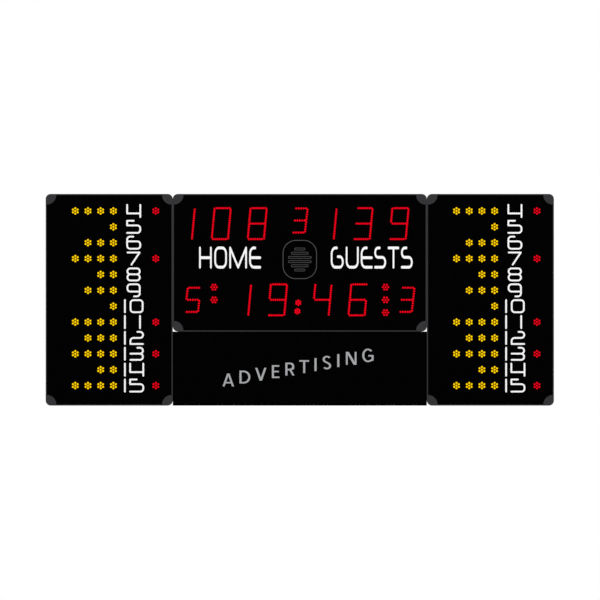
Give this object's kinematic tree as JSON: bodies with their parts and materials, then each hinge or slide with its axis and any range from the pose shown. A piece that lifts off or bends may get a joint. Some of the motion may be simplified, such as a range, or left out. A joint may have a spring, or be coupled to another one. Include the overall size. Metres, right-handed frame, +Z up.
{
  "type": "sports scoreboard",
  "caption": "Wall-hung LED scoreboard: a wide centre cabinet with digits, lamps and horn grille, a tall player-foul cabinet on each side, and a black advertising board below.",
  "frame": {"origin": "middle of the upper wall rail's back face, on the wall plane", "axes": "+X to the right seen from the front, +Y into the wall, +Z up; the front faces -Y"},
  "size_m": [3.842, 0.09, 1.6],
  "materials": {
    "frame_grey": "satin dark grey powder coat",
    "cap_grey": "fine-textured dark grey moulding",
    "face_black": "matt black sheet",
    "lamp_black": "smoked lamp window",
    "tray_metal": "mill-finish folded sheet",
    "hinge_steel": "bright rolled steel",
    "rail_metal": "extruded, satin",
    "ad_black": "matt black panel",
    "board_green": "green solder mask",
    "switch_black": "black moulded nylon"
  },
  "bodies": {
    "cabinets": {"main_tray": "tray_metal", "left_tray": "tray_metal", "right_tray": "tray_metal", "upper_wall_rail": "rail_metal", "lower_wall_rail": "rail_metal", "main_tray_hinge_leaf": "hinge_steel", "left_tray_hinge_leaf": "hinge_steel", "right_tray_hinge_leaf": "hinge_steel", "main_hinge_pin": "hinge_steel", "left_hinge_pin": "hinge_steel", "right_hinge_pin": "hinge_steel", "power_supply": "tray_metal", "control_board": "board_green", "power_inlet": "switch_black", "ad_board": "ad_black", "ad_bracket_left": "rail_metal", "ad_bracket_right": "rail_metal"},
    "rocker": {"power_rocker": "switch_black"},
    "main_door": {"main_front_frame": "frame_grey", "main_face": "face_black", "main_cap_top_left": "cap_grey", "main_cap_top_right": "cap_grey", "main_cap_bottom_left": "cap_grey", "main_cap_bottom_right": "cap_grey", "main_door_hinge_leaf": "hinge_steel", "home_score_hundreds": "lamp_black", "home_score_tens": "lamp_black", "home_score_units": "lamp_black", "guest_score_hundreds": "lamp_black", "guest_score_tens": "lamp_black", "guest_score_units": "lamp_black", "period_digit": "lamp_black", "home_fouls_digit": "lamp_black", "guest_fouls_digit": "lamp_black", "timer_minutes_tens": "lamp_black", "timer_minutes_units": "lamp_black", "timer_seconds_tens": "lamp_black", "timer_seconds_units": "lamp_black", "timer_colon": "lamp_black", "home_time_out_lamps": "lamp_black", "guest_time_out_lamps": "lamp_black", "horn_grille": "face_black", "horn_driver": "switch_black"},
    "left_door": {"left_front_frame": "frame_grey", "left_face": "face_black", "left_cap_top_left": "cap_grey", "left_cap_top_right": "cap_grey", "left_cap_bottom_left": "cap_grey", "left_cap_bottom_right": "cap_grey", "left_door_hinge_leaf": "hinge_steel", "left_player_lamps": "lamp_black"},
    "right_door": {"right_front_frame": "frame_grey", "right_face": "face_black", "right_cap_top_left": "cap_grey", "right_cap_top_right": "cap_grey", "right_cap_bottom_left": "cap_grey", "right_cap_bottom_right": "cap_grey", "right_door_hinge_leaf": "hinge_steel", "right_player_lamps": "lamp_black"}
  },
  "joints": [
    {"name": "main_door_hinge", "type": "hinge", "parent": "cabinets", "child": "main_door", "pos_m": [0, -0.056, 0.096], "axis": [-1, 0, 0], "range_deg": [0, 90]},
    {"name": "left_door_hinge", "type": "hinge", "parent": "cabinets", "child": "left_door", "pos_m": [-1.917, -0.056, -0.7], "axis": [0, 0, -1], "range_deg": [0, 110]},
    {"name": "right_door_hinge", "type": "hinge", "parent": "cabinets", "child": "right_door", "pos_m": [1.917, -0.056, -0.7], "axis": [0, 0, 1], "range_deg": [0, 110]},
    {"name": "rocker_pivot", "type": "hinge", "parent": "cabinets", "child": "rocker", "pos_m": [-1.6035, -0.0355, -1.4928], "axis": [-1, 0, 0], "range_deg": [0, 24]}
  ]
}
